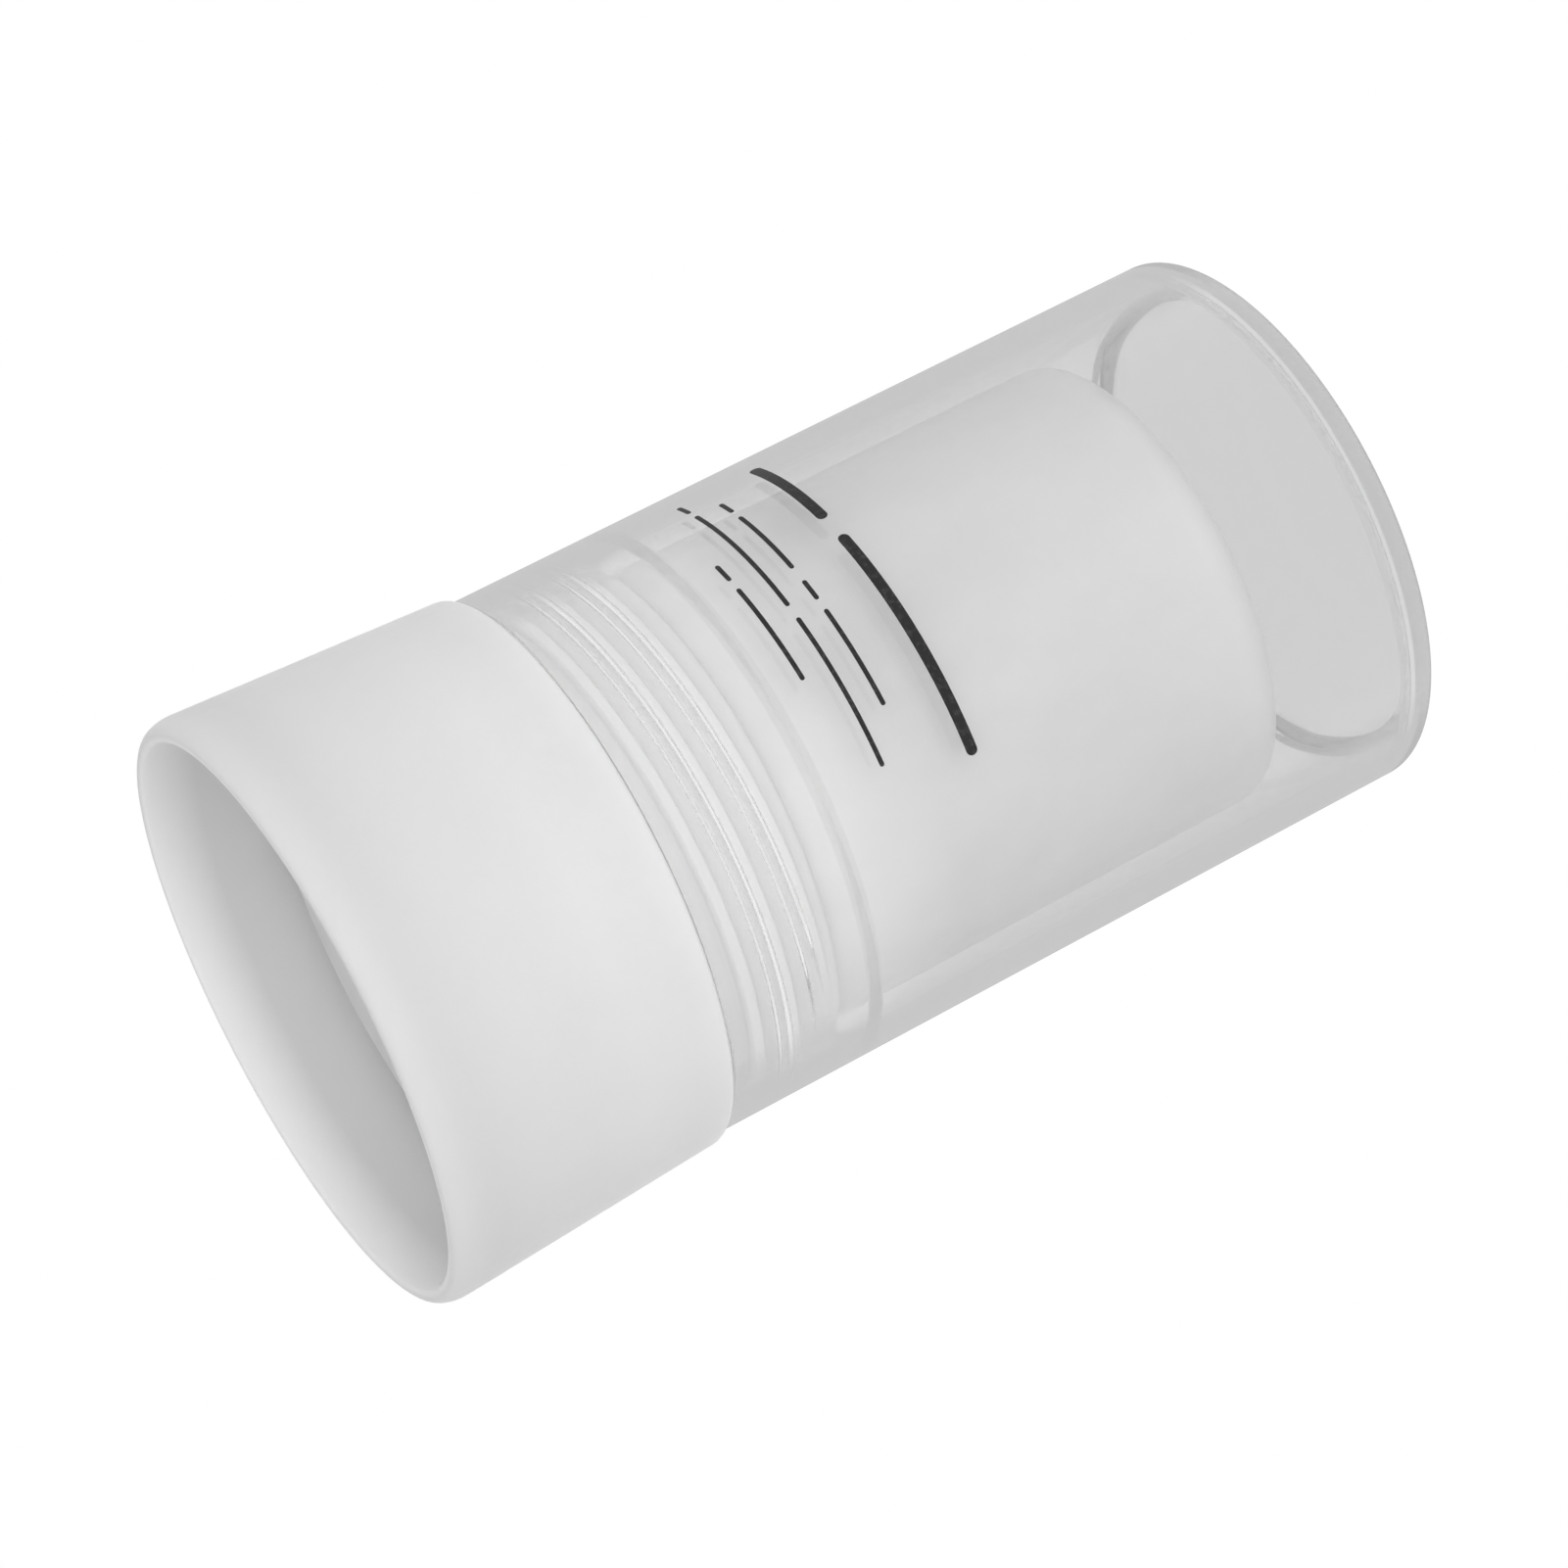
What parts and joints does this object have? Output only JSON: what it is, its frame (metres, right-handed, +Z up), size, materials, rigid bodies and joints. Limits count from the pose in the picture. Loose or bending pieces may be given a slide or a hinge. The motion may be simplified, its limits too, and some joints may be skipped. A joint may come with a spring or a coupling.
{
  "type": "alum aftershave stick",
  "caption": "Alum aftershave stick: a cylindrical alum stone in a frosted flared base, under a clear screw-on cap with a flat end.",
  "frame": {"origin": "centre of the foot rim, on the plane that the stick stands on", "axes": "+Z up along the stick's own axis, from the foot rim to the cap's closed end; -Y is the side that faces the viewer in the picture"},
  "size_m": [0.0378, 0.0378, 0.0696],
  "materials": {
    "frosted_base": "frosted translucent polypropylene",
    "alum": "cloudy, polished by use",
    "clear_cap": "clear polished styrene plastic",
    "print_ink": "screen-printed ink"
  },
  "bodies": {
    "base": {"base": "frosted_base", "alum_stone": "alum"},
    "cap": {"cap": "clear_cap"}
  },
  "joints": [
    {"name": "cap_lift", "type": "slide", "parent": "base", "child": "cap", "axis": [0, 0, 1], "range_m": [0, 0.05]}
  ]
}
